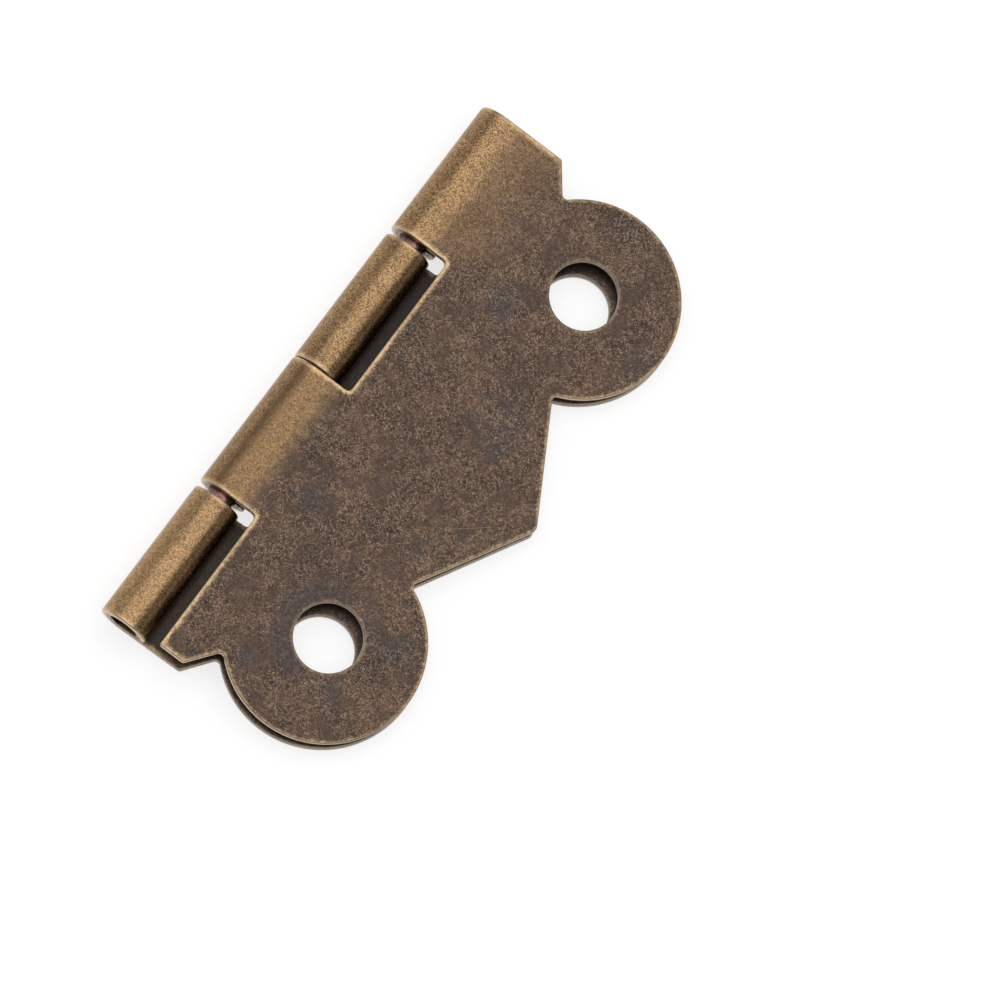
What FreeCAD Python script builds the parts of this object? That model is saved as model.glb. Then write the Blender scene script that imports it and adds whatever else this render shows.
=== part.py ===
"""Butterfly hinge: two like leaves stamped from sheet steel, rolled into knuckles round one loose pin.

The hinge lies closed, with the far edge of the upper leaf resting on the lower leaf. The origin is midway
between the lower leaf's screw holes, on its back. +X points from the pin to the tips, +Y runs along the
pin and +Z points up, away from the surface that the lower leaf lies on. All sizes are in millimetres.
"""
import FreeCAD, Part
import math
import os

from FreeCAD import Placement, Rotation, Vector

# Sheet, barrel and pin
sheet = 0.5                # thickness of the stamped leaves
barrel_diameter = 2.5      # outside of the rolled knuckles
barrel_length = 30.0       # end to end along the pin
knuckle_count = 4          # shared by the two leaves in turn
knuckle_gap = 0.22         # free space between neighbouring knuckles
roll_wrap = 300.0          # degrees that a knuckle turns round the pin
edge_bevel = 0.06          # left by the die along the edges of a leaf's outside
pin_clearance = 0.04       # all round the pin inside the rolls
pin_recess = 1.2           # depth of the pin's ends inside the barrel
pin_chamfer = 0.2          # bevel round the pin's cut ends

# Outline of a leaf, with reaches measured from the pin's axis
notch_reach = 1.84         # to the back of the notches
notch_fillet = 0.25        # in the corners of the notches
shoulder_reach = 3.23      # to the corner at each end
shoulder_fall = 52.8       # degrees that the edge below that corner turns from X
shoulder_round = 0.2       # on that corner
lobe_reach = 7.9           # to the centre of a round lobe
lobe_spread = 20.36        # between the centres of the two lobes
lobe_radius = 4.79
crotch_fillet = 0.25       # in the inner corners on both sides of a lobe
tip_set_back = 0.05        # of the tip's end from a line across the lobes
tip_angle = 121.2          # degrees between the tip's two edges
tip_round = 0.45           # on the tip
hole_diameter = 3.3        # of the screw hole in each lobe
hole_offset = 0.19         # of both holes along the pin from the lobes' centres

# How the hinge lies
leaf_slide = 0.15          # of the upper leaf along the pin
rest_clearance = 0.03      # between the upper leaf's far edge and the lower leaf

barrel_radius = barrel_diameter / 2
roll_inside = barrel_radius - sheet
half_length = barrel_length / 2
half_spread = lobe_spread / 2
half_tip_angle = math.radians(tip_angle / 2)
far_reach = lobe_reach + lobe_radius
tip_corner = far_reach - tip_set_back + tip_round * (1 / math.sin(half_tip_angle) - 1)
knuckle_length = (barrel_length - (knuckle_count - 1) * knuckle_gap) / knuckle_count
knuckle_pitch = knuckle_length + knuckle_gap
same = 1e-6                # points closer than this are one point


def prism(points):
    """A block of sheet on a closed outline of points in the XY plane."""
    corners = [Vector(x, y, 0) for x, y in points]
    outline = Part.makePolygon(corners + corners[:1])
    return Part.Face(outline).extrude(Vector(0, 0, sheet))


def lobe_centre(side):
    """Centre on the leaf's back of the lobe towards the end given by side."""
    return Vector(lobe_reach, side * half_spread, 0)


def blank():
    """The flat sheet: a body that narrows past its shoulders, a pointed tip and two round lobes."""
    fall = (half_length - half_spread) / math.tan(math.radians(shoulder_fall))
    waist = shoulder_reach + fall
    body = prism([
        (0, half_length),
        (shoulder_reach, half_length),
        (waist, half_spread),
        (waist, -half_spread),
        (shoulder_reach, -half_length),
        (0, -half_length),
    ])
    tip_root = tip_corner - half_spread / math.tan(half_tip_angle)
    tip = prism([
        (notch_reach, half_spread),
        (tip_root, half_spread),
        (tip_corner, 0),
        (tip_root, -half_spread),
        (notch_reach, -half_spread),
    ])
    lobes = [Part.makeCylinder(lobe_radius, sheet, lobe_centre(side)) for side in (1, -1)]
    return body.multiFuse([tip] + lobes).removeSplitter()


def face_normal(face, point):
    """The outward normal of a face at a point on it."""
    return face.normalAt(*face.Surface.parameter(point))


def sharp_edges(shape):
    """The edges at which the surface turns, without the smooth seams between tangent faces."""
    found = []
    for edge in shape.Edges:
        middle = edge.valueAt((edge.FirstParameter + edge.LastParameter) / 2)
        normals = [face_normal(face, middle) for face in shape.ancestorsOfType(edge, Part.Face)]
        if len(normals) == 2 and normals[0].cross(normals[1]).Length > same:
            found.append(edge)
    return found


def corners(shape, wanted):
    """The sharp edges straight through the sheet whose place in plan, x and y, is wanted."""
    found = []
    for edge in sharp_edges(shape):
        box = edge.BoundBox
        upright = box.XLength < same and box.YLength < same
        if upright and wanted(box.XMin, box.YMin):
            found.append(edge)
    return found


def is_shoulder(x, y):
    return abs(x - shoulder_reach) < same and abs(abs(y) - half_length) < same


def is_tip(x, y):
    return abs(x - tip_corner) < same and abs(y) < same


def is_crotch(x, y):
    return x > same


def is_notch_corner(x, y):
    return abs(x - notch_reach) < same and abs(y) < half_length - same


def rounded_blank():
    """The blank with its shoulders, its tip and then the inner corners that are left rounded."""
    shape = blank()
    shape = shape.makeFillet(shoulder_round, corners(shape, is_shoulder))
    shape = shape.makeFillet(tip_round, corners(shape, is_tip))
    return shape.makeFillet(crotch_fillet, corners(shape, is_crotch))


def knuckle_start(place):
    """Y of the lower end of the knuckle at a place counted from the -Y end of the barrel."""
    return place * knuckle_pitch - half_length


def notch(place):
    """The cut that frees the other leaf's knuckle at this place, from the pin to the notch's back."""
    low = knuckle_start(place) - knuckle_gap
    high = knuckle_start(place + 1)
    return Part.makeBox(notch_reach, high - low, sheet, Vector(0, low, 0))


def screw_hole(side):
    """A round hole punched through the sheet, a little off the centre of its lobe."""
    centre = lobe_centre(side) - Vector(0, hole_offset, 0)
    return Part.makeCylinder(hole_diameter / 2, sheet, centre)


def roll_point(radius, degrees):
    """A point of the roll's section: degrees run round the pin from the leaf's back to the roll's end."""
    turn = math.radians(degrees)
    return Vector(-radius * math.sin(turn), 0, barrel_radius - radius * math.cos(turn))


def roll_arc(radius):
    """The roll's section at one radius, from the flat sheet to the roll's end."""
    points = [roll_point(radius, share * roll_wrap) for share in (0, 0.5, 1)]
    return Part.Arc(*points).toShape()


def roll(place):
    """The sheet rolled round the pin over the length of one knuckle."""
    root = Part.makeLine(roll_point(roll_inside, 0), roll_point(barrel_radius, 0))
    tail = Part.makeLine(roll_point(barrel_radius, roll_wrap), roll_point(roll_inside, roll_wrap))
    edges = [root, roll_arc(barrel_radius), tail, roll_arc(roll_inside)]
    section = Part.Face(Part.Wire(Part.__sortEdges__(edges)))
    section.translate(Vector(0, knuckle_start(place), 0))
    return section.extrude(Vector(0, knuckle_length, 0))


def on_outside(point):
    """Whether a point lies on the outer skin of the lower leaf: its flat back or the outside of a roll."""
    from_axis = math.hypot(point.x, point.z - barrel_radius)
    return point.z < same or abs(from_axis - barrel_radius) < same


def outer_edges(shape):
    """The sheared edges that bound the outer skin of the lower leaf."""
    found = []
    for edge in sharp_edges(shape):
        span = edge.LastParameter - edge.FirstParameter
        points = [edge.valueAt(edge.FirstParameter + share * span) for share in (0, 0.5, 1)]
        if all(on_outside(point) for point in points):
            found.append(edge)
    return found


def leaf():
    """The lower leaf, flat on its back with the pin's axis over X = 0."""
    own = range(0, knuckle_count, 2)
    other = range(1, knuckle_count, 2)
    shape = rounded_blank().cut([notch(place) for place in other])
    shape = shape.makeFillet(notch_fillet, corners(shape, is_notch_corner))
    shape = shape.cut([screw_hole(side) for side in (1, -1)])
    shape = shape.multiFuse([roll(place) for place in own]).removeSplitter()
    return shape.makeChamfer(edge_bevel, outer_edges(shape))


def closing_angle():
    """Degrees past parallel at which the upper leaf's far edge comes to rest above the lower leaf."""
    swing_radius = math.hypot(far_reach, roll_inside)
    drop = roll_inside - rest_clearance
    return math.degrees(math.atan2(roll_inside, far_reach) + math.asin(drop / swing_radius))


def turned_over(shape):
    """The same leaf end for end and upside down on the pin, closed, and slid along it."""
    axis_point = Vector(0, 0, barrel_radius)
    over = shape.copy()
    over.rotate(axis_point, Vector(1, 0, 0), 180)
    over.rotate(axis_point, Vector(0, 1, 0), closing_angle())
    over.translate(Vector(0, leaf_slide, 0))
    return over


def pin():
    """A plain rod with bevelled ends, shorter than the barrel."""
    radius = roll_inside - pin_clearance
    length = barrel_length - 2 * pin_recess
    start = Vector(0, -length / 2, barrel_radius)
    rod = Part.makeCylinder(radius, length, start, Vector(0, 1, 0))
    return rod.makeChamfer(pin_chamfer, sharp_edges(rod))


def save(shape, node):
    """Moves a piece from the pin's frame to the part's own frame and writes its file."""
    to_origin = Vector(-lobe_reach, hole_offset, 0)
    shape.Placement = Placement(to_origin, Rotation()).multiply(shape.Placement)
    shape.exportStep(os.path.join("parts", node + ".step"))
    print(node, "valid", shape.isValid(), "solids", len(shape.Solids), "volume", round(shape.Volume, 3))


def main():
    os.makedirs("parts", exist_ok=True)
    lower = leaf()
    upper = turned_over(lower)
    print("closing angle", round(closing_angle(), 4))
    save(lower, "lower_leaf")
    save(upper, "upper_leaf")
    save(pin(), "hinge_pin")


main()
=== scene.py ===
"""Butterfly hinge in antique bronze: two stamped leaves rolled round a loose pin, closed on a pale floor.

A leaf is worked out flat, in the coordinates of its sheet: u runs from the pin to the tip, v along the pin
and depth from the outside of the sheet to its inside. The tabs, where u is below nought, are then rolled
round the pin. The functions work in millimetres, and the finished meshes are in metres.
"""
import math
from types import SimpleNamespace

import bpy
import numpy as np
from bpy.props import FloatProperty, FloatVectorProperty, PointerProperty
from mathutils import Matrix, Vector
from mathutils.geometry import delaunay_2d_cdt


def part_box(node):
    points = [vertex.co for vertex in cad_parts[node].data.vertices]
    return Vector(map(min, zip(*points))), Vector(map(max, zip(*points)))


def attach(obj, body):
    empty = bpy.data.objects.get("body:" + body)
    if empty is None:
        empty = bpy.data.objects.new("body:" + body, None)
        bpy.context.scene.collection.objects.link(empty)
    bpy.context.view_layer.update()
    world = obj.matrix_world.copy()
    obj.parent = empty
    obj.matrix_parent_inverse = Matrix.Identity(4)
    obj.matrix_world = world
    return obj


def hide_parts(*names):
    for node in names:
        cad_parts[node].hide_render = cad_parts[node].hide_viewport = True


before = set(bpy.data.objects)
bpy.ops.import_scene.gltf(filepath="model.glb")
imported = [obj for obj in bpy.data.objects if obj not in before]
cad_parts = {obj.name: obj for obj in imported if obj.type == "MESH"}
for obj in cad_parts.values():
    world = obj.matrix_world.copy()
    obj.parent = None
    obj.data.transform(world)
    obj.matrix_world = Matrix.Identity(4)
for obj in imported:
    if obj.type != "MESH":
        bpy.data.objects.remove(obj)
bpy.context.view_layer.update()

bl_info = {
    "name": "Butterfly hinge",
    "version": (1, 0, 0),
    "blender": (4, 5, 0),
    "location": "3D View > Sidebar > Hinge",
    "description": "Builds a rolled butterfly hinge in antique bronze, its pin and a studio stage",
    "category": "Add Mesh",
}

MM = 0.001
QUARTER = math.pi / 2
FULL_TURN = 2 * math.pi
PIN_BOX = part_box("hinge_pin")
LEAF_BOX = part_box("lower_leaf")

KNUCKLES = 4               # along the barrel, shared by the two leaves in turn
OWN_KNUCKLES = (2, 0)      # places of a leaf's own, in the order in which its outline comes to them

# Fineness of the meshes, in millimetres unless it says otherwise
STEP = 0.14                # longest side along a leaf's outline
MOST_TURN = 0.14           # radians, the largest turn from point to point along an arc
GRID_SPLIT = 0.1           # u at which the flat's grid meets the tabs' finer one
FLAT_GRID = (0.26, 0.24)   # steps of the flat's grid along u and v
TAB_GRID = (0.11, 0.4)     # steps of the tabs' grid along u and v
GRID_CLEARANCE = 0.06      # between the grid and the edge's own rows
SAME_POINT = 1e-6          # points closer than this are one
FILL_TOLERANCE = 1e-9      # of the triangulation
CHUNK = 500                # points measured at a time
PIN_ROWS = 40              # rings along the rod
AROUND = 64                # points in a ring

# Stage: the floor and the camera's target in millimetres, the lamps and the view's depth in metres
FLOOR_MIDDLE = 200.0       # radius of the floor's first ring
FLOOR_LEVEL = 1000.0       # radius at which it starts to rise
FLOOR_REACH = 3000.0       # radius of its brim
FLOOR_RISE = 450.0         # height of its brim
FLOOR_RINGS = 24           # over the part that rises
FLOOR_GAP = 0.02           # between the floor and the hinge
FLOOR_GLOW = 0.735         # share of white that the camera sees without any lamp
LIT_PAPER = (0.41, 0.41, 0.41)      # what the lamps add to the glow
LIT_GRAIN = (0.38, 0.38, 0.38)      # the same on the paper's grain
KEY_PLACE = (0.051, 0.094, 0.437)
KEY_SIZE = 0.6
SIDE_PLACE = (-0.382, 0.0, 0.239)
SIDE_SIZE = 0.46
TARGET = (2.6325, 0.4642, 1.25)
SENSOR = 36.0              # width of the camera's film in millimetres
NEAREST = 0.01             # the view's depth starts here
FARTHEST = 20.0            # and ends here


def length(label, about, millimetres):
    """A size, kept in metres."""
    default = millimetres * MM
    return FloatProperty(name=label, description=about, default=default, min=0.0, precision=6, unit="LENGTH")


def angle(label, about, degrees):
    """A turn, kept in radians."""
    return FloatProperty(name=label, description=about, default=math.radians(degrees), unit="ROTATION")


def amount(label, about, default):
    """A plain number."""
    return FloatProperty(name=label, description=about, default=default, min=0.0)


def colour(label, about, default):
    """A linear colour."""
    kind = {"subtype": "COLOR", "size": 3, "min": 0.0, "max": 1.0}
    return FloatVectorProperty(name=label, description=about, default=default, **kind)


class LeafSizes(bpy.types.PropertyGroup):
    """Sizes of the two stamped leaves and of how they lie."""
    sheet: length("Sheet", "Thickness of the stamped sheet", 0.5)
    barrel_diameter: length("Barrel diameter", "Outside of the rolls", (LEAF_BOX[1].z - LEAF_BOX[0].z) / MM)
    barrel_length: length("Barrel length", "End to end along the pin", (LEAF_BOX[1].y - LEAF_BOX[0].y) / MM)
    knuckle_gap: length("Knuckle gap", "Free space between neighbouring knuckles", 0.22)
    roll_wrap: angle("Roll wrap", "How far a knuckle turns round the pin", 300.0)
    notch_reach: length("Notch reach", "From the pin's axis to the back of the notches", 1.84)
    notch_fillet: length("Notch fillet", "Round in the corners of the notches", 0.25)
    shoulder_reach: length("Shoulder reach", "From the pin's axis to the corner at each end", 3.23)
    shoulder_fall: angle("Shoulder fall", "Turn of the edge below that corner", 52.8)
    shoulder_round: length("Shoulder round", "Round on that corner", 0.2)
    lobe_reach: length("Lobe reach", "From the pin's axis to the centre of a lobe", 7.9)
    lobe_spread: length("Lobe spread", "Between the centres of the two lobes", 20.36)
    lobe_radius: length("Lobe radius", "Outside of a lobe", 4.79)
    crotch_fillet: length("Crotch fillet", "Round in the inner corners beside a lobe", 0.25)
    tip_set_back: length("Tip set-back", "Of the tip's end from a line across the lobes", 0.05)
    tip_angle: angle("Tip angle", "Between the tip's two edges", 121.2)
    tip_round: length("Tip round", "Round on the tip", 0.45)
    hole_diameter: length("Hole diameter", "Of the screw hole in each lobe", 3.3)
    hole_offset: length("Hole offset", "Of both holes along the pin from the lobes' centres", 0.19)
    leaf_slide: length("Leaf slide", "Of the upper leaf along the pin", 0.15)
    rest_clearance: length("Rest clearance", "Between the upper leaf's far edge and the lower leaf", 0.03)
    corner_round: length("Corner round", "Round on the corners that the die leaves sharp", 0.15)
    rolled_edge: length("Rolled edge", "Width over which the die drew the outside edges down", 0.1)
    rolled_depth: length("Rolled depth", "Depth to which it drew them down", 0.05)
    burr: length("Burr", "Round left on the inside edges", 0.03)


class PinSizes(bpy.types.PropertyGroup):
    """Sizes of the loose pin."""
    diameter: length("Diameter", "Of the rod", (PIN_BOX[1].z - PIN_BOX[0].z) / MM)
    length: length("Length", "Of the rod", (PIN_BOX[1].y - PIN_BOX[0].y) / MM)
    chamfer: length("Chamfer", "Bevel round the cut ends", 0.2)


class HingeFinish(bpy.types.PropertyGroup):
    """Colours of the aged plating, the bare edges and the pin."""
    umber: colour("Umber", "Dark brown of the aged flats", (0.050, 0.030, 0.020))
    russet: colour("Russet", "Redder brown clouds on the flats", (0.100, 0.057, 0.035))
    plum: colour("Plum", "Calm patches with little grain", (0.072, 0.046, 0.034))
    slate: colour("Slate", "Bluish film of the oldest patches", (0.055, 0.044, 0.041))
    tan: colour("Tan", "Fine specks rubbed through the brown", (0.312, 0.217, 0.153))
    # This colour is dark oxide in nicks, on the torn half of the walls and on the pin. It is also painted
    # shade on the inside face and on walls near the floor.
    soot_and_shade: colour("Soot", "Dark oxide in nicks and on the inside", (0.018, 0.013, 0.010))
    gold: colour("Gold", "Plating rubbed bright on the rolls", (0.510, 0.310, 0.145))
    olive: colour("Olive", "Darker grain left on the rolls", (0.135, 0.080, 0.037))
    brass: colour("Brass", "Plating bared along the edges", (0.600, 0.415, 0.218))
    steel: colour("Steel", "Bare sheared edges", (0.600, 0.560, 0.520))
    copper: colour("Copper", "Coating of the pin", (0.640, 0.340, 0.280))


class StageLook(bpy.types.PropertyGroup):
    """Camera, floor and lamps."""
    azimuth: angle("Azimuth", "Of the camera, from +X towards +Y", -70.0967)
    elevation: angle("Elevation", "Of the camera above the floor", 77.1131)
    roll: angle("Roll", "Of the camera about its line of sight", 16.2891)
    distance: length("Distance", "From the camera to the point that it looks at", 289.755)
    lens: amount("Lens", "Focal length in millimetres", 223.5727)
    floor: colour("Floor", "Of the pale floor", (0.9, 0.9, 0.9))
    key: amount("Key lamp", "Brightness of the lamp overhead", 1.25)
    side: amount("Side lamp", "Brightness of the lamp behind the barrel", 0.50)
    room: amount("Room", "Brightness of the room", 0.21)


def plain_sizes(group):
    """The group's values as plain numbers, lengths in millimetres and turns in radians."""
    values = {}
    for key, prop in group.bl_rna.properties.items():
        if prop.type == "FLOAT" and not prop.is_array:
            values[key] = getattr(group, key) / (MM if prop.unit == "LENGTH" else 1.0)
    return SimpleNamespace(**values)


def leaf_sizes(context):
    """The leaf's sizes with those that follow from them."""
    size = plain_sizes(context.scene.hinge_leaf)
    size.barrel_radius = size.barrel_diameter / 2
    size.roll_inside = size.barrel_radius - size.sheet
    size.half_length = size.barrel_length / 2
    size.half_spread = size.lobe_spread / 2
    size.hole_radius = size.hole_diameter / 2
    size.far_reach = size.lobe_reach + size.lobe_radius
    past_round = size.tip_round * (1 / math.sin(size.tip_angle / 2) - 1)
    size.tip_corner = size.far_reach - size.tip_set_back + past_round
    size.knuckle_length = (size.barrel_length - (KNUCKLES - 1) * size.knuckle_gap) / KNUCKLES
    size.tab_reach = size.roll_wrap * size.barrel_radius
    swing = math.hypot(size.far_reach, size.roll_inside)
    drop = size.roll_inside - size.rest_clearance
    size.closing = math.atan2(size.roll_inside, size.far_reach) + math.asin(drop / swing)
    return size


def ray(turn):
    """Unit vector at a turn from the u axis."""
    return np.array([math.cos(turn), math.sin(turn)])


def crotch_turn(size, lobe, side_turn, on_side, sense):
    """Turn from a lobe's centre to the fillet that touches the lobe and a straight side.

    The side passes through a point, and its normal lies at side_turn. The fillet's centre is one fillet
    radius beyond both, so the cosine of its turn from that normal is its height over the lobe's centre by
    the sum of the two radii.
    """
    height = ray(side_turn) @ (on_side - lobe) + size.crotch_fillet
    return side_turn + sense * math.acos(height / (size.lobe_radius + size.crotch_fillet))


def lobe_side(size):
    """Arcs from the tip's side to the shoulder at the +v end: rows of centre u, v, radius, start and end."""
    tip_side = QUARTER - size.tip_angle / 2
    fall_side = QUARTER - size.shoulder_fall
    lobe = np.array([size.lobe_reach, size.half_spread])
    shoulder = np.array([size.shoulder_reach, size.half_length])
    low = crotch_turn(size, lobe, tip_side, np.array([size.tip_corner, 0.0]), -1)
    high = crotch_turn(size, lobe, fall_side, shoulder, 1)
    reach = size.lobe_radius + size.crotch_fillet
    inset = size.shoulder_round * (1 - math.sin(fall_side)) / math.cos(fall_side)
    return np.array([
        [*(lobe + reach * ray(low)), size.crotch_fillet, tip_side + math.pi, low + math.pi],
        [*lobe, size.lobe_radius, low, high],
        [*(lobe + reach * ray(high)), size.crotch_fillet, high + math.pi, fall_side + math.pi],
        [*(shoulder - [inset, size.shoulder_round]), size.shoulder_round, fall_side, QUARTER],
    ])


def mirrored(arcs):
    """The same arcs on the -v side, in the order in which the outline comes to them."""
    u, v, radius, start, end = arcs[::-1].T
    return np.stack([u, -v, radius, -end, -start], 1)


def tab(size, place):
    """Arcs round one knuckle's tab, at a place counted from the -v end, and in the notches beside it."""
    low = place * (size.knuckle_length + size.knuckle_gap) - size.half_length
    high = low + size.knuckle_length
    end = size.corner_round - size.tab_reach
    back = size.notch_reach - size.notch_fillet
    arcs = [
        [back, high + size.notch_fillet, size.notch_fillet, 0, -QUARTER],
        [end, high - size.corner_round, size.corner_round, QUARTER, math.pi],
        [end, low + size.corner_round, size.corner_round, math.pi, 3 * QUARTER],
        [back, low - size.notch_fillet, size.notch_fillet, QUARTER, 0],
    ]
    return np.array(arcs if place else arcs[:-1])


def blank_arcs(size):
    """All arcs of the flat blank in order: tip, lobe, shoulder, open notch, tabs and the other side back."""
    lean = QUARTER - size.tip_angle / 2
    tip = [size.tip_corner - size.tip_round / math.cos(lean), 0, size.tip_round, -lean, lean]
    upper = lobe_side(size)
    bend = size.corner_round
    corner = [size.notch_reach + bend, size.half_length - bend, bend, QUARTER, math.pi]
    tabs = np.concatenate([tab(size, place) for place in OWN_KNUCKLES])
    return np.array([tip, *upper, corner, *tabs, *mirrored(upper)])


def arc_points(arc, step):
    """Points on a circle: its centre plus its radius along evenly spaced turns from start to end."""
    u, v, radius, start, end = arc
    turned = abs(end - start)
    count = math.ceil(max(turned * radius / step, turned / MOST_TURN)) + 1
    turns = np.linspace(start, end, count)
    return np.stack([u + radius * np.cos(turns), v + radius * np.sin(turns)], 1)


def outline(arcs):
    """The arcs joined in order by straight sides that are cut evenly, with doubled points left out."""
    rounds = [arc_points(arc, STEP) for arc in arcs]
    path = []
    for here, after in zip(rounds, rounds[1:] + rounds[:1]):
        side = after[0] - here[-1]
        count = max(1, math.ceil(np.linalg.norm(side) / STEP))
        path += [here, here[-1] + side * (np.arange(1, count) / count)[:, None]]
    path = np.concatenate(path)
    return path[np.linalg.norm(path - np.roll(path, 1, 0), axis=1) > SAME_POINT]


def hole(size, end):
    """The circle of the hole at the end of that sign, run clockwise so that the metal is on the left."""
    centre = [size.lobe_reach, end * size.half_spread - size.hole_offset]
    return arc_points([*centre, size.hole_radius, FULL_TURN, 0], STEP / 2)[:-1]


def outward(path):
    """Unit normals out of the metal: the mean of the two sides that meet at a point, turned to the right."""
    side = np.roll(path, -1, 0) - path
    side /= np.linalg.norm(side, axis=1)[:, None]
    both = side + np.roll(side, 1, 0)
    both /= np.linalg.norm(both, axis=1)[:, None]
    return np.stack([both[:, 1], -both[:, 0]], 1)


def rim_profile(size):
    """Section of a sheared edge as rows of inset and depth.

    A quarter ellipse where the die drew the outside down, a straight burnished wall, a raked wall where the
    sheet broke away, and a quarter round on the inside. A row of the flat at both ends keeps it level.
    """
    level = 0.02
    rake = 0.016
    burnished, broken, half_raked = 0.5 * size.sheet, 0.62 * size.sheet, 0.78 * size.sheet
    quarter = np.linspace(0, QUARTER, 7)
    drawn_in = size.rolled_edge * (1 - np.sin(quarter))
    drawn_down = size.rolled_depth * (1 - np.cos(quarter))
    wall = [[0, burnished], [0, broken], [0.75 * rake, half_raked]]
    burr_in = rake + size.burr * (1 - np.cos(quarter))
    burr_down = size.sheet - size.burr * (1 - np.sin(quarter))
    start = [[size.rolled_edge + level, 0.0]]
    end = [[rake + size.burr + level, size.sheet]]
    drawn = np.stack([drawn_in, drawn_down], 1)
    burr = np.stack([burr_in, burr_down], 1)[::2]
    return np.concatenate([start, drawn, wall, burr, end])


def metal_depth(points, loops):
    """Distance from each point to the nearest side of the outline or a hole, above nought in the metal."""
    start = np.concatenate(loops)
    side = np.concatenate([np.roll(loop, -1, 0) - loop for loop in loops])
    square = (side ** 2).sum(1)
    away = np.stack([side[:, 1], -side[:, 0]], 1)
    found = []
    for some in np.array_split(points, len(points) // CHUNK + 1):
        gap = some[:, None] - start
        share = np.clip((gap * side).sum(2) / square, 0, 1)
        gap -= share[..., None] * side
        far = (gap ** 2).sum(2)
        near = far.argmin(1)
        row = np.arange(len(some))
        within = (gap[row, near] * away[near]).sum(1) < 0
        found.append(np.where(within, 1, -1) * np.sqrt(far[row, near]))
    return np.concatenate(found)


def grid(u_from, u_to, steps, v_reach):
    """Evenly spaced points in rows along u, with every other row shifted by half a step."""
    u, v = np.meshgrid(np.arange(u_from, u_to, steps[0]), np.arange(-v_reach, v_reach, steps[1]))
    u[1::2] += steps[0] / 2
    return np.stack([u.ravel(), v.ravel()], 1)


def flat_triangles(rim, inner, after, inside):
    """Triangles between the rim's points and the inner ones, from a constrained Delaunay triangulation.

    Triangles with all corners on the rim may lie off the metal. Those with an outside middle are left out.
    """
    points = np.concatenate([rim, inner])
    sides = np.stack([np.arange(len(rim)), after], 1)
    kept, _, faces = delaunay_2d_cdt(points.tolist(), sides.tolist(), [], 0, FILL_TOLERANCE)[:3]
    if len(kept) != len(points):
        raise ValueError("The rim crosses itself: a corner round is smaller than the rolled edge")
    faces = np.array(faces)
    on_rim = (faces < len(rim)).all(1)
    keep = ~on_rim
    keep[on_rim] = inside(points[faces[on_rim]].mean(1))
    return faces[keep]


def blank(size):
    """The flat blank as sheet coordinates, distance to the nearest sheared edge, and faces.

    The edge's profile is carried along the outline and round the holes. Both flats are filled between the
    profile's first and last rows with the same triangles.
    """
    loops = [outline(blank_arcs(size)), hole(size, 1), hole(size, -1)]
    path = np.concatenate(loops)
    normal = np.concatenate([outward(loop) for loop in loops])
    first = np.cumsum([0] + [len(loop) for loop in loops[:-1]])
    after = np.concatenate([start + np.roll(np.arange(len(loop)), -1) for start, loop in zip(first, loops)])
    inset, depth = rim_profile(size).T
    rim = path - inset[:, None, None] * normal
    rows, count = rim.shape[:2]

    on_flat = grid(GRID_SPLIT, size.far_reach, FLAT_GRID, size.half_length)
    on_tabs = grid(-size.tab_reach, GRID_SPLIT, TAB_GRID, size.half_length)
    spots = np.concatenate([on_flat, on_tabs])
    within = metal_depth(spots, loops)
    clear = within > inset[0] + GRID_CLEARANCE
    spots, within = spots[clear], within[clear]

    brink = np.split(rim[0], first[1:])
    flat = flat_triangles(rim[0], spots, after, lambda points: metal_depth(points, brink) > 0)
    past_rim = flat - count + rows * count
    outer = np.where(flat < count, flat, past_rim)
    inner = np.where(flat < count, flat + (rows - 1) * count, past_rim + len(spots))
    row_start = count * np.arange(rows - 1)[:, None]
    here = np.arange(count) + row_start
    there = after + row_start
    band = np.stack([here, there, there + count, here + count], 2).reshape(-1, 4)

    deep = np.broadcast_to(depth[:, None], (rows, count))
    points = np.concatenate([
        np.concatenate([rim, deep[..., None]], 2).reshape(-1, 3),
        np.insert(spots, 2, 0.0, axis=1),
        np.insert(spots, 2, size.sheet, axis=1),
    ])
    edge = np.concatenate([np.repeat(inset, count), within, within])
    faces = band.tolist() + outer[:, ::-1].tolist() + inner.tolist()
    return points, edge, faces


def rolled(points, size):
    """Sheet coordinates set round the pin.

    Past the pin a point keeps its u and v and lies at its depth. On a tab it turns round the pin by its u
    over the barrel's radius, at the barrel's radius less its depth.
    """
    u, v, depth = points.T
    turn = np.maximum(-u, 0) / size.barrel_radius
    radius = size.barrel_radius - depth
    x = np.maximum(u, 0) - radius * np.sin(turn)
    z = size.barrel_radius - radius * np.cos(turn)
    return np.stack([x, v, z], 1)


def turned_over(points, size):
    """The leaf turned end for end about u through the pin, closed about the pin and slid along it."""
    x, y, z = points.T
    z = size.barrel_radius - z
    cos, sin = math.cos(size.closing), math.sin(size.closing)
    return np.stack([x * cos + z * sin, size.leaf_slide - y, size.barrel_radius + z * cos - x * sin], 1)


def shown(name, points, faces, material):
    """A smooth-shaded object from points in millimetres, with its place in its mesh."""
    mesh = bpy.data.meshes.new(name)
    mesh.from_pydata((points * MM).tolist(), [], faces)
    mesh.shade_smooth()
    mesh.materials.append(material)
    piece = bpy.data.objects.new(name, mesh)
    bpy.context.scene.collection.objects.link(piece)
    return piece


def keep_attribute(piece, name, kind, field, values):
    """Numbers kept at the mesh's points for the material to read."""
    made = piece.data.attributes.new(name, kind, "POINT")
    made.data.foreach_set(field, values.astype(np.float32).ravel())


def leaf_piece(size, name, place, material):
    """One leaf: the blank rolled, put in its place and given its sheet coordinates and edge distances."""
    points, edge, faces = blank(size)
    to_frame = np.array([-size.lobe_reach, size.hole_offset, 0.0])
    piece = shown(name, place(rolled(points, size)) + to_frame, faces, material)
    keep_attribute(piece, "sheet", "FLOAT_VECTOR", "vector", points)
    keep_attribute(piece, "edge", "FLOAT", "value", edge)
    return piece


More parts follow.
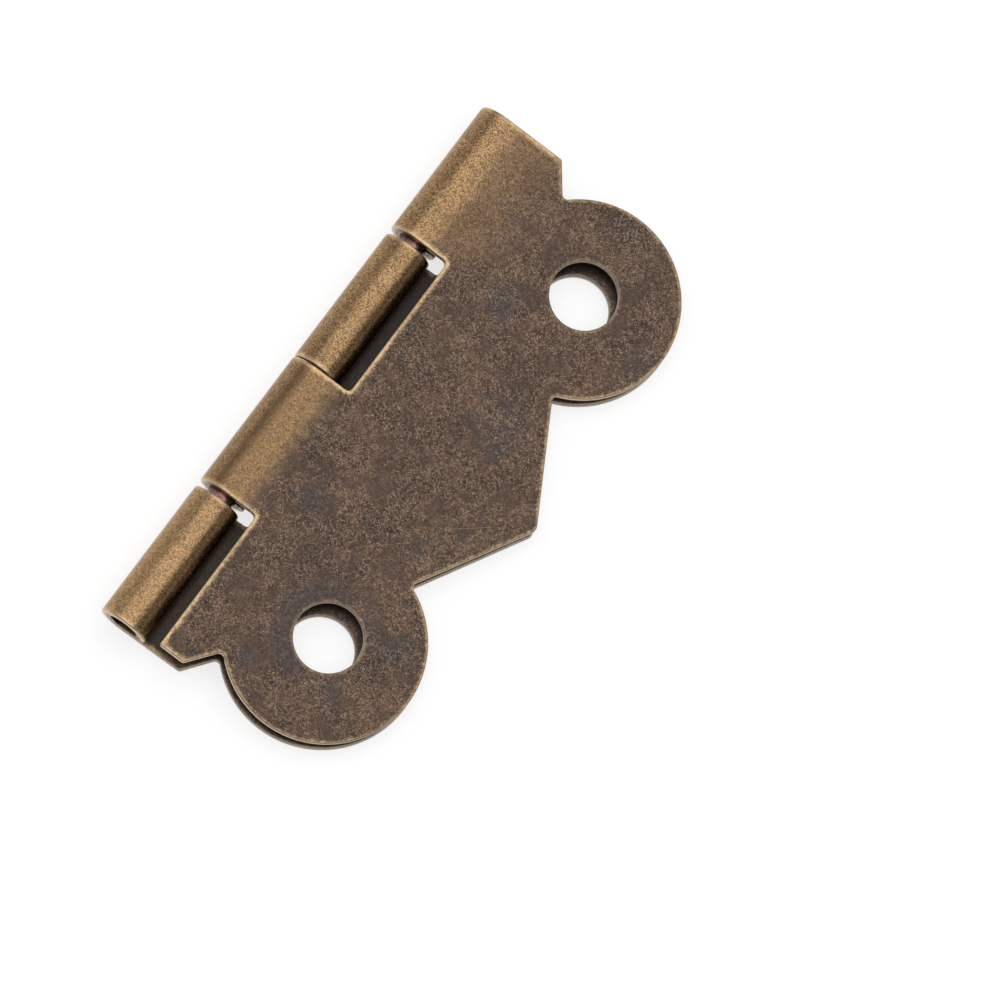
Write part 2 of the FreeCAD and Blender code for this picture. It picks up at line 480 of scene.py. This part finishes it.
def rings(along, radius):
    """Each radius carried round the Y axis at its place along it."""
    turn = np.arange(AROUND) * FULL_TURN / AROUND
    places = np.broadcast_to(along[:, None], (len(along), AROUND))
    return np.stack([radius[:, None] * np.cos(turn), places, radius[:, None] * np.sin(turn)], 2)


def pin_points(size):
    """The rod's profile carried round its axis.

    The profile is a row of places along the axis and radii: the flat of a sheared end, its bevel with
    softened corners, and the straight length. The other end is its mirror image.
    """
    radius, half, bevel = size.diameter / 2, size.length / 2, size.chamfer
    soft = 0.03
    share = np.array([0.0, 0.04, 0.5, 0.96, 1.0])
    start = np.array([[-half, 0.5 * radius], [-half, radius - bevel - soft]])
    slope = np.stack([-half + bevel * share, radius - bevel * (1 - share)], 1)
    past_bevel = half - bevel - soft
    body = np.stack([np.linspace(-past_bevel, past_bevel, PIN_ROWS), np.full(PIN_ROWS, radius)], 1)
    end = np.concatenate([start, slope])
    profile = np.concatenate([end, body, end[::-1] * [-1, 1]])
    return rings(*profile.T)


def ring_faces(rows):
    """Four-sided faces between neighbouring rows of closed rings."""
    row_start = AROUND * np.arange(rows - 1)[:, None]
    here = np.arange(AROUND) + row_start
    there = np.roll(np.arange(AROUND), -1) + row_start
    return np.stack([here, here + AROUND, there + AROUND, there], 2).reshape(-1, 4).tolist()


def floor_points():
    """The floor as rings from the middle out: level, then rising with the square of the way to its brim."""
    radius = np.append(np.linspace(FLOOR_REACH, FLOOR_LEVEL, FLOOR_RINGS), FLOOR_MIDDLE)[::-1]
    past_level = np.maximum(radius - FLOOR_LEVEL, 0) / (FLOOR_REACH - FLOOR_LEVEL)
    return rings(FLOOR_RISE * past_level ** 2 - FLOOR_GAP, radius)[..., [0, 2, 1]]


class Wiring:
    """A new material's nodes. A value is a number, a colour or another node's socket."""

    def __init__(self, name):
        self.material = bpy.data.materials.new(name)
        self.material.use_nodes = True
        self.tree = self.material.node_tree
        self.tree.nodes.clear()

    def add(self, kind, values=None, **settings):
        """A node of a kind, with its settings made and its inputs set or linked."""
        node = self.tree.nodes.new("ShaderNode" + kind)
        for key, value in settings.items():
            setattr(node, key, value)
        for key, value in (values or {}).items():
            socket = node.inputs[key]
            if isinstance(value, bpy.types.NodeSocket):
                self.tree.links.new(value, socket)
            elif socket.type == "RGBA":
                socket.default_value = (*value, 1.0)
            else:
                socket.default_value = value
        return node

    def math(self, operation, first, second=0.0):
        """One operation on two values."""
        return self.add("Math", {0: first, 1: second}, operation=operation).outputs[0]

    def times(self, *values):
        """All the values multiplied."""
        result = values[0]
        for value in values[1:]:
            result = self.math("MULTIPLY", result, value)
        return result

    def plus(self, first, second):
        """Two values added."""
        return self.math("ADD", first, second)

    def most(self, first, second):
        """The larger of two values."""
        return self.math("MAXIMUM", first, second)

    def fade(self, value, start, end, low=0.0, high=1.0):
        """Runs smoothly from low, where the value is at start, to high, where it is at end."""
        ends = {"Value": value, 1: start, 2: end, 3: low, 4: high}
        return self.add("MapRange", ends, interpolation_type="SMOOTHSTEP").outputs[0]

    def mix(self, share, first, second):
        """A share of the second colour laid over the first."""
        return self.add("Mix", {0: share, 6: first, 7: second}, data_type="RGBA").outputs[2]

    def blend(self, share, first, second):
        """A number between the first and the second."""
        return self.add("Mix", {0: share, 2: first, 3: second}, data_type="FLOAT").outputs[0]

    def noise(self, place, scale, detail=2.0, rough=0.5, bend=0.0):
        """Soft clouds, scale of them to a millimetre."""
        sizes = {"Vector": place, "Scale": scale, "Detail": detail, "Roughness": rough, "Distortion": bend}
        return self.add("TexNoise", sizes).outputs[0]

    def stretched(self, place, scale):
        """Coordinates multiplied along each axis."""
        return self.add("Mapping", {"Vector": place, "Scale": scale}).outputs[0]

    def attribute(self, name, output):
        """Numbers kept at the mesh's points."""
        return self.add("Attribute", attribute_name=name).outputs[output]

    def split(self, vector):
        """The three parts of a vector."""
        return self.add("SeparateXYZ", {0: vector}).outputs

    def own_place(self):
        """The piece's own coordinates in millimetres."""
        place = self.add("TexCoord").outputs["Object"]
        return self.add("VectorMath", {0: place, "Scale": 1 / MM}, operation="SCALE").outputs[0]

    def hairs(self, place, stretch, cell, reach, width, share):
        """Short straight lines through the points of a share of the cells, each at a turn of its own."""
        place = self.stretched(place, stretch)
        cells = self.add("TexVoronoi", {"Vector": place, "Scale": 1 / cell}, voronoi_dimensions="2D").outputs
        chance = self.add("SeparateColor", {0: cells["Color"]}).outputs
        gap = self.add("VectorMath", {0: place, 1: cells["Position"]}, operation="SUBTRACT").outputs[0]
        turn = {"Vector": gap, "Angle": self.times(chance[0], FULL_TURN)}
        turned = self.split(self.add("VectorRotate", turn, rotation_type="Z_AXIS").outputs[0])
        along = self.fade(self.math("ABSOLUTE", turned[0]), reach, 0.4 * reach)
        across = self.fade(self.math("ABSOLUTE", turned[1]), width, 0.2 * width)
        there = self.fade(chance[1], share, share - 0.1)
        return self.times(along, across, there, self.fade(chance[2], -0.4, 1.0))

    def sand(self, place, size):
        """Grains of a size, each with a value of its own from 0 to 1."""
        cells = self.add("TexVoronoi", {"Vector": place, "Scale": 1 / size})
        return self.add("SeparateColor", {0: cells.outputs["Color"]}).outputs[0]

    def finish(self, shader):
        """The material with its shader joined to its output."""
        output = self.add("OutputMaterial")
        self.tree.links.new(shader.outputs[0], output.inputs["Surface"])
        return self.material


def leaf_places(w, size):
    """Where a point lies: on its piece and sheet, from the nearest edge and hole, and on which knuckle."""
    at = SimpleNamespace()
    at.own = w.own_place()
    at.along, at.height = w.split(at.own)[1:]
    at.sheet = w.attribute("sheet", "Vector")
    at.u, at.v, at.depth = w.split(at.sheet)
    at.edge = w.attribute("edge", "Fac")
    off_axis = w.math("ABSOLUTE", w.plus(at.v, size.hole_offset))
    folded = w.add("CombineXYZ", {0: at.u, 1: off_axis}).outputs[0]
    centre = (size.lobe_reach, size.half_spread, 0.0)
    at.from_hole = w.add("VectorMath", {0: folded, 1: centre}, operation="DISTANCE").outputs["Value"]
    at.third = w.times(w.fade(at.along, 0.7, -0.5), w.fade(at.along, -8.2, -7.0))
    at.fourth = w.fade(at.along, -7.4, -8.0)
    return at


def leaf_grain(w, at):
    """The grain of the finish, from clouds down to specks. Patch and ragged run to both sides of nought."""
    grain = SimpleNamespace()
    grain.cloud = w.noise(at.own, scale=0.5, detail=4.0, rough=0.6, bend=0.4)
    grain.patch = w.plus(w.noise(at.own, scale=2.1, detail=3.0, rough=0.6), -0.5)
    grain.ragged = w.plus(w.noise(at.own, scale=4.5, detail=2.0, rough=0.6), -0.5)
    grain.grit = w.plus(w.times(w.sand(at.own, size=0.052), 0.62), w.times(w.sand(at.own, size=0.1), 0.38))
    grain.roll_grit = w.sand(at.own, size=0.047)
    grain.speck = w.fade(w.sand(at.own, size=0.042), 0.88, 0.98)
    short_hair = w.hairs(at.sheet, (1.05, 1.11, 1.0), cell=0.27, reach=0.17, width=0.020, share=0.6)
    long_hair = w.hairs(at.sheet, (1.13, 0.97, 1.0), cell=0.5, reach=0.36, width=0.018, share=0.6)
    grain.hair = w.most(short_hair, long_hair)
    grain.nick = w.hairs(at.sheet, (1.07, 0.93, 1.0), cell=0.75, reach=0.13, width=0.055, share=0.65)
    grain.scratch = w.hairs(at.sheet, (0.97, 1.03, 1.0), cell=4.5, reach=2.2, width=0.022, share=0.6)
    grain.streak = w.noise(w.stretched(at.sheet, (14.0, 14.0, 2.5)), scale=1.0, detail=3.0, rough=0.6)
    return grain


def leaf_wear(w, at, grain, size):
    """Where the finish is worn: on the rolls, by the first knuckle and along the sheared edges.

    An edge has a rubbed rim, a bright brink on the outside, a burr on the inside, and a wall between them
    that is burnished on the outside and torn on the inside. Near the floor the edges are dimmed and the
    walls darkened, as painted shade that stands in for the floor's shadow in what they reflect.
    """
    sheet = size.sheet
    wear = SimpleNamespace()
    wear.inside = w.fade(at.depth, 0.9 * sheet, 0.98 * sheet)
    border = w.plus(w.times(grain.patch, 1.5), w.times(w.plus(grain.grit, -0.5), 0.7))
    border = w.plus(border, w.times(at.third, -0.3))
    wear.roll = w.fade(w.plus(at.u, border), 1.3, 0.4)
    wear.flat = w.math("SUBTRACT", 1.0, wear.roll)
    wear.end = w.times(w.fade(at.v, -6.5, -10.0), w.fade(w.plus(at.u, w.times(grain.patch, 5.0)), 4.6, 1.2))

    on_leaf = w.fade(at.u, -5.2, -4.6)
    # Painted shade: rims, brinks and burnished walls are dimmed near the floor, standing in for its shadow.
    floor_shade_dimming = w.fade(at.height, 0.25, 0.6, 0.35, 1.0)
    by_hole = w.fade(at.from_hole, size.hole_radius + 0.6, size.hole_radius + 0.3)
    ragged_edge = w.plus(at.edge, w.times(grain.ragged, 0.3))
    rim_width = w.fade(at.u, 4.5, 2.5, 0.2, 0.3)
    handled = w.fade(w.noise(at.own, scale=0.3), 0.35, 0.6, 0.65, 1.0)
    rim = w.times(w.fade(ragged_edge, rim_width, 0.0), w.fade(grain.grit, 0.1, 0.7, 0.55, 1.0))
    rim = w.times(rim, w.fade(at.u, 5.0, 2.2, 0.75, 1.35), handled)
    rim = w.times(rim, w.blend(wear.inside, 1.0, 0.5), w.blend(by_hole, 1.0, 0.55))
    wear.rim = w.times(rim, on_leaf, floor_shade_dimming)
    outer = w.fade(at.depth, 0.3 * sheet, 0.2 * sheet)
    wear.brink = w.times(w.fade(at.edge, 0.055, 0.02), outer, on_leaf, floor_shade_dimming)
    inner = w.fade(at.depth, 0.93 * sheet, 0.97 * sheet)
    wear.burr = w.times(w.fade(at.edge, 0.06, 0.035), inner, on_leaf)
    past_brink = w.fade(at.depth, 0.11 * sheet, 0.2 * sheet)
    before_burr = w.fade(at.depth, 0.97 * sheet, 0.92 * sheet)
    wear.wall = w.times(w.fade(at.edge, 0.022, 0.004), past_brink, before_burr)
    torn = w.plus(at.depth, w.times(w.plus(grain.streak, -0.5), 0.5 * sheet))
    wear.burnished = w.times(wear.wall, w.fade(torn, 0.75 * sheet, 0.15 * sheet), floor_shade_dimming)
    # Painted shade: walls near the floor take more of the dark colour, standing in for the floor's shadow.
    # The torn half of every wall is real dark oxide.
    low = w.fade(at.height, 0.6, 0.25, 0.4, 0.7)
    wear.dark_wall = w.times(wear.wall, w.most(low, w.fade(torn, 0.4 * sheet, 0.7 * sheet, 0.4, 0.85)))
    return wear


def aged_brown(w, at, grain, finish):
    """Brown of the flats: umber and russet clouds, calm patches, a stain by one hole, grains and marks."""
    by_stain = w.fade(w.plus(at.from_hole, w.times(grain.patch, 1.5)), 3.2, 2.2)
    stain = w.times(by_stain, w.fade(at.u, 8.6, 7.0), w.fade(at.v, 0.0, 1.0))
    calm = w.most(w.fade(w.noise(at.own, scale=0.7, detail=3.0, rough=0.6, bend=0.6), 0.48, 0.62), stain)
    film = w.most(w.fade(w.noise(at.own, scale=0.33, detail=3.0), 0.58, 0.70), stain)
    lively = w.blend(calm, 1.0, 0.3)
    clouds = w.fade(w.plus(grain.cloud, w.times(grain.patch, 0.6)), 0.36, 0.66)
    shade = w.mix(clouds, finish.umber, finish.russet)
    shade = w.mix(w.times(calm, 0.6), shade, finish.plum)
    shade = w.mix(w.times(film, 0.8), shade, finish.slate)
    shade = w.mix(w.times(w.fade(grain.grit, 0.45, 1.0), lively, 0.5), shade, finish.tan)
    shade = w.mix(w.times(w.fade(grain.grit, 0.45, 0.08), lively, 0.46), shade, finish.soot_and_shade)
    shade = w.mix(w.times(grain.hair, lively, 0.65), shade, finish.tan)
    shade = w.mix(w.times(grain.speck, lively, 0.9), shade, finish.tan)
    return w.mix(w.times(grain.nick, lively, 0.75), shade, finish.soot_and_shade)


def rubbed_gold(w, at, grain, finish):
    """Gold of the rolls in an olive grain, duller in stretches and on one knuckle, brighter on the last.
    On that one knuckle the top of the roll is darker still, as painted shade that dims its highlight.
    """
    shade = w.mix(w.fade(grain.roll_grit, 0.1, 0.9), finish.olive, finish.gold)
    shade = w.mix(w.times(grain.hair, 0.45), shade, finish.umber)
    stretches = w.fade(w.noise(at.own, scale=0.45), 0.45, 0.68, 0.0, 0.35)
    stretches = w.times(stretches, w.blend(at.fourth, 1.0, 0.0))
    shade = w.mix(w.most(stretches, w.times(at.third, 0.3)), shade, finish.olive)
    shade = w.mix(w.times(at.fourth, 0.15), shade, finish.gold)
    # Painted shade: on the third knuckle the top of the roll turns towards olive to dim the highlight there.
    crest = w.times(w.fade(at.u, -0.85, -0.6), w.fade(at.u, -0.05, -0.35, 0.25, 0.65))
    return w.mix(w.times(at.third, crest), shade, finish.olive)


def bared_edges(w, grain, wear, shade, finish):
    """Brass with a little copper along the rims, and steel where the sheet was sheared."""
    shade = w.mix(wear.rim, shade, finish.brass)
    shade = w.mix(w.times(wear.rim, w.fade(grain.ragged, 0.0, 0.2, 0.0, 0.4)), shade, finish.copper)
    shade = w.mix(w.most(w.times(wear.brink, 0.45), w.times(wear.burr, 0.4)), shade, finish.steel)
    # Dark oxide on the torn half of the walls, and painted shade on walls near the floor.
    shade = w.mix(wear.dark_wall, shade, finish.soot_and_shade)
    return w.mix(w.times(wear.burnished, 0.85), shade, finish.steel)


def leaf_roughness(w, grain, wear):
    """Smoother grains than the ground between them, and smoother rolls, rims and burnished walls."""
    rough = w.fade(grain.grit, 0.1, 0.9, 0.52, 0.38)
    rough = w.blend(wear.roll, rough, w.fade(grain.grit, 0.1, 0.9, 0.37, 0.25))
    rough = w.blend(w.most(wear.rim, wear.brink), rough, 0.30)
    return w.blend(wear.wall, rough, w.fade(grain.streak, 0.3, 0.7, 0.26, 0.44))


def leaf_relief(w, at, grain, wear):
    """Slow waves of the pressed sheet under a fine relief of grain, hairs, nicks and torn streaks."""
    waves = w.add("Bump", {"Strength": 1.0, "Distance": 0.06 * MM, "Height": w.noise(at.own, scale=0.75)})
    relief = w.plus(w.noise(at.own, scale=7.5, detail=2.0, rough=0.6), w.times(grain.hair, wear.flat, -0.25))
    relief = w.plus(relief, w.times(grain.nick, -0.8))
    relief = w.plus(relief, w.times(grain.streak, wear.wall, 0.8))
    fine = {"Strength": 0.5, "Distance": 0.02 * MM, "Height": relief, "Normal": waves.outputs[0]}
    return w.add("Bump", fine).outputs[0]


def antique_bronze(finish, size):
    """Brown aged plating, rubbed to gold on the rolls and edges, over steel bared where it was sheared."""
    w = Wiring("antique bronze")
    at = leaf_places(w, size)
    grain = leaf_grain(w, at)
    wear = leaf_wear(w, at, grain, size)
    gilt = w.most(w.times(wear.roll, 0.94), w.times(wear.end, 0.4))
    shade = w.mix(gilt, aged_brown(w, at, grain, finish), rubbed_gold(w, at, grain, finish))
    shade = w.mix(w.times(grain.scratch, wear.flat, 0.5), shade, finish.tan)
    # Painted shade: the inside face is darkened, more away from the edges and most by the barrel, to stand
    # in for the shade between the closed leaves and in the slots.
    painted_inside_shade = w.fade(w.plus(at.edge, w.times(grain.patch, 1.6)), 0.0, 0.7, 0.3, 0.72)
    painted_inside_shade = w.most(painted_inside_shade, w.fade(at.u, 3.4, 2.0, 0.0, 0.9))
    shade = w.mix(w.times(wear.inside, painted_inside_shade), shade, finish.soot_and_shade)
    shader = w.add("BsdfPrincipled", {
        "Base Color": bared_edges(w, grain, wear, shade, finish),
        "Metallic": 1.0,
        "Roughness": leaf_roughness(w, grain, wear),
        "Specular Tint": (1.0, 0.93, 0.85),
        "Coat Weight": 0.3,
        "Coat Roughness": 0.28,
        "Normal": leaf_relief(w, at, grain, wear),
    })
    return w.finish(shader)


def coppered_steel(finish):
    """Drawn wire with a thin copper coating, streaked along its length and darkened in patches."""
    w = Wiring("coppered steel")
    place = w.own_place()
    drawn = w.noise(w.stretched(place, (22.0, 0.7, 22.0)), scale=1.0, detail=3.0, rough=0.6)
    patch = w.noise(place, scale=1.4, detail=3.0, rough=0.6)
    grain = w.times(w.noise(place, scale=18.0), 0.4)
    shade = w.mix(w.fade(patch, 0.3, 0.7, 0.3, 0.9), finish.copper, finish.soot_and_shade)
    shade = w.mix(w.fade(drawn, 0.5, 0.75, 0.0, 0.4), shade, finish.steel)
    relief = {"Strength": 0.3, "Distance": 0.01 * MM, "Height": w.plus(drawn, grain)}
    shader = w.add("BsdfPrincipled", {
        "Base Color": shade,
        "Metallic": 1.0,
        "Roughness": w.fade(w.plus(w.times(drawn, 0.6), grain), 0.3, 0.7, 0.14, 0.28),
        "Normal": w.add("Bump", relief).outputs[0],
    })
    return w.finish(shader)


def pale_floor(look):
    """White paper: what the camera and the metal see is nearly white, and darker in the hinge's shadow."""
    w = Wiring("pale floor")
    path = w.add("LightPath").outputs
    seen = w.most(w.most(path["Is Camera Ray"], path["Is Glossy Ray"]), path["Is Transmission Ray"])
    grain = w.times(w.noise(w.own_place(), scale=0.8, detail=3.0), 0.1)
    paper = w.add("BsdfDiffuse", {"Color": look.floor})
    shaded = w.add("BsdfDiffuse", {"Color": w.mix(grain, LIT_PAPER, LIT_GRAIN)})
    glow = w.add("Emission", {"Color": (1.0, 1.0, 1.0), "Strength": FLOOR_GLOW})
    both = w.add("AddShader", {0: shaded.outputs[0], 1: glow.outputs[0]})
    return w.finish(w.add("MixShader", {0: seen, 1: paper.outputs[0], 2: both.outputs[0]}))


def lamp(name, at, size, brightness):
    """A square lamp aimed at the origin: its power is its brightness times pi times its area."""
    light = bpy.data.lights.new(name, "AREA")
    light.shape = "SQUARE"
    light.size = size
    light.energy = brightness * math.pi * size ** 2
    made = bpy.data.objects.new(name, light)
    made.location = at
    made.rotation_euler = (-Vector(at)).to_track_quat("-Z", "Y").to_euler()
    bpy.context.scene.collection.objects.link(made)


def light_room(scene, look):
    """An even white world, shown without any change of tone."""
    world = bpy.data.worlds.new("room")
    world.use_nodes = True
    background = world.node_tree.nodes["Background"].inputs
    background["Strength"].default_value = look.room
    background["Color"].default_value = (1, 1, 1, 1)
    scene.world = world
    scene.view_settings.view_transform = "Standard"


def set_camera(scene, look):
    """A camera at its distance from the target, turned by its roll about the line of sight."""
    away = Vector((
        math.cos(look.elevation) * math.cos(look.azimuth),
        math.cos(look.elevation) * math.sin(look.azimuth),
        math.sin(look.elevation),
    ))
    level = Vector((0, 0, 1)).cross(away).normalized()
    right = level * math.cos(look.roll) + away.cross(level) * math.sin(look.roll)
    turn = Matrix((right, away.cross(right), away)).transposed().to_4x4()
    data = bpy.data.cameras.new("camera")
    data.lens = look.lens
    data.sensor_width = SENSOR
    data.clip_start = NEAREST
    data.clip_end = FARTHEST
    camera = bpy.data.objects.new("camera", data)
    camera.matrix_world = Matrix.Translation(Vector(TARGET) * MM + away * look.distance) @ turn
    scene.collection.objects.link(camera)
    scene.camera = camera


class HINGE_OT_leaves(bpy.types.Operator):
    """Build both leaves from the rolled blank"""
    bl_idname = "hinge.leaves"
    bl_label = "Build the leaves"

    def execute(self, context):
        size = leaf_sizes(context)
        bronze = antique_bronze(context.scene.hinge_finish, size)
        lower = leaf_piece(size, "rolled_lower_leaf", lambda points: points, bronze)
        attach(lower, "fixed_leaf")
        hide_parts("lower_leaf")
        upper = leaf_piece(size, "rolled_upper_leaf", lambda points: turned_over(points, size), bronze)
        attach(upper, "swinging_leaf")
        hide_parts("upper_leaf")
        return {"FINISHED"}


class HINGE_OT_pin(bpy.types.Operator):
    """Build the loose pin"""
    bl_idname = "hinge.pin"
    bl_label = "Build the pin"

    def execute(self, context):
        points = pin_points(plain_sizes(context.scene.hinge_pin))
        rows = len(points)
        ring = np.arange(AROUND)
        caps = [ring.tolist(), (ring + AROUND * (rows - 1)).tolist()[::-1]]
        middle = np.array((PIN_BOX[0] + PIN_BOX[1]) / 2) / MM
        copper = coppered_steel(context.scene.hinge_finish)
        pin = shown("coppered_pin", points.reshape(-1, 3) + middle, ring_faces(rows) + caps, copper)
        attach(pin, "fixed_leaf")
        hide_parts("hinge_pin")
        return {"FINISHED"}


class HINGE_OT_stage(bpy.types.Operator):
    """Set the floor, the lamps, the room and the camera"""
    bl_idname = "hinge.stage"
    bl_label = "Set the stage"

    def execute(self, context):
        look = context.scene.hinge_stage
        points = floor_points()
        middle = [list(range(AROUND))]
        floor = shown("floor", points.reshape(-1, 3), ring_faces(len(points)) + middle, pale_floor(look))
        lamp("key lamp", KEY_PLACE, KEY_SIZE, look.key)
        lamp("side lamp", SIDE_PLACE, SIDE_SIZE, look.side)
        light_room(context.scene, look)
        set_camera(context.scene, look)
        return {"FINISHED"}


class HINGE_PT_panel(bpy.types.Panel):
    """Lists the hinge's sizes, finish and stage, and builds them"""
    bl_label = "Butterfly hinge"
    bl_idname = "HINGE_PT_panel"
    bl_space_type = "VIEW_3D"
    bl_region_type = "UI"
    bl_category = "Hinge"

    def draw(self, context):
        for operator, groups in STEPS.items():
            box = self.layout.box()
            box.operator(operator)
            for group in groups:
                values = getattr(context.scene, group)
                for key in GROUPS[group].__annotations__:
                    box.prop(values, key)


STEPS = {
    "hinge.leaves": ("hinge_leaf", "hinge_finish"),
    "hinge.pin": ("hinge_pin",),
    "hinge.stage": ("hinge_stage",),
}
GROUPS = {
    "hinge_leaf": LeafSizes,
    "hinge_pin": PinSizes,
    "hinge_finish": HingeFinish,
    "hinge_stage": StageLook,
}
CLASSES = (*GROUPS.values(), HINGE_OT_leaves, HINGE_OT_pin, HINGE_OT_stage, HINGE_PT_panel)


def register():
    for kind in CLASSES:
        bpy.utils.register_class(kind)
    for name, kind in GROUPS.items():
        setattr(bpy.types.Scene, name, PointerProperty(type=kind))


def unregister():
    for name in GROUPS:
        delattr(bpy.types.Scene, name)
    for kind in reversed(CLASSES):
        bpy.utils.unregister_class(kind)


def main():
    """Builds the leaves, the pin and the stage."""
    register()
    bpy.ops.hinge.leaves()
    bpy.ops.hinge.pin()
    bpy.ops.hinge.stage()


if __name__ == "__main__":
    main()
